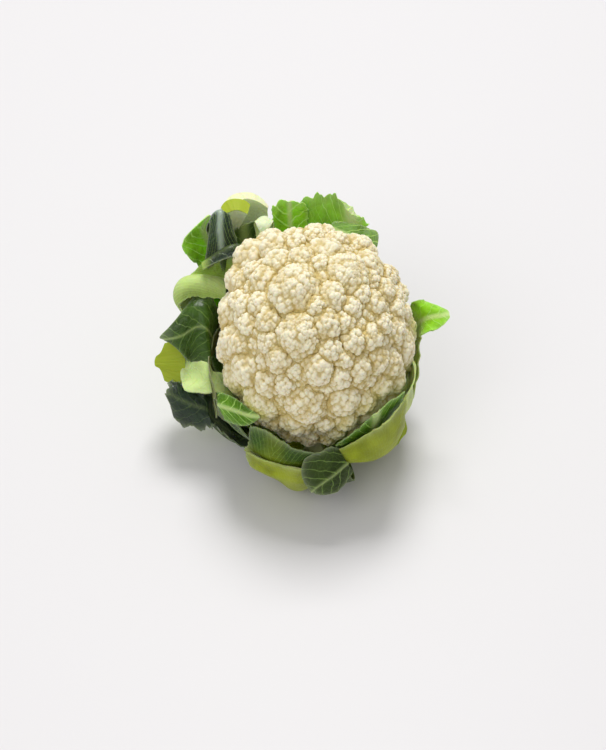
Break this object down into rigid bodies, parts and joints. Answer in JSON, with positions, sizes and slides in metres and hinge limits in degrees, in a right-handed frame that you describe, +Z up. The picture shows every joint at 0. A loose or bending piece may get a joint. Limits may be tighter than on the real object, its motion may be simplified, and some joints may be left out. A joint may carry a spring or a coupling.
{
  "type": "cauliflower",
  "caption": "Fresh whole cauliflower: a domed, knobbly cream curd ringed by trimmed green wrapper leaves with thick pale ribs, standing on its flat cut stem; a vegetable for the kitchen.",
  "frame": {"origin": "middle of the stem's flat cut face, which stands on the table", "axes": "+Z up, out of the table; -Y towards the front, the side that the plant leans away from; +X to the right as seen from the front"},
  "size_m": [0.223, 0.2091, 0.1694],
  "materials": {
    "curd": "matt, slightly translucent plant tissue, creamy white with tan creases",
    "stem_flesh": "moist cut plant stem, pale yellow-green",
    "outer_leaf": "waxy green leaf with paler veins and a thick pale rib",
    "inner_leaf": "thin young leaf, bright yellow-green"
  },
  "bodies": {
    "root": {"curd": "curd", "stem": "stem_flesh", "leaf_front": "outer_leaf", "leaf_front_flap": "outer_leaf", "leaf_right_low": "outer_leaf", "leaf_back_right_low": "outer_leaf", "leaf_back": "outer_leaf", "leaf_back_left_outer": "outer_leaf", "leaf_left_drooping": "outer_leaf", "leaf_front_left": "outer_leaf", "leaf_right_blade": "outer_leaf", "leaf_back_right": "outer_leaf", "leaf_back_left_rib": "outer_leaf", "leaf_left_arched": "outer_leaf", "leaf_left_cut": "outer_leaf", "leaf_front_right": "outer_leaf", "leaf_left_front_low": "outer_leaf", "leaf_left": "outer_leaf", "leaf_back_left_folded": "outer_leaf", "leaf_back_blade": "outer_leaf", "leaf_back_right_small": "outer_leaf", "leaf_right": "outer_leaf", "leaf_inner_right": "inner_leaf", "leaf_inner_left": "inner_leaf", "leaf_left_stub": "inner_leaf", "leaf_inner_back": "inner_leaf", "leaf_inner_back_right": "inner_leaf"}
  },
  "joints": []
}
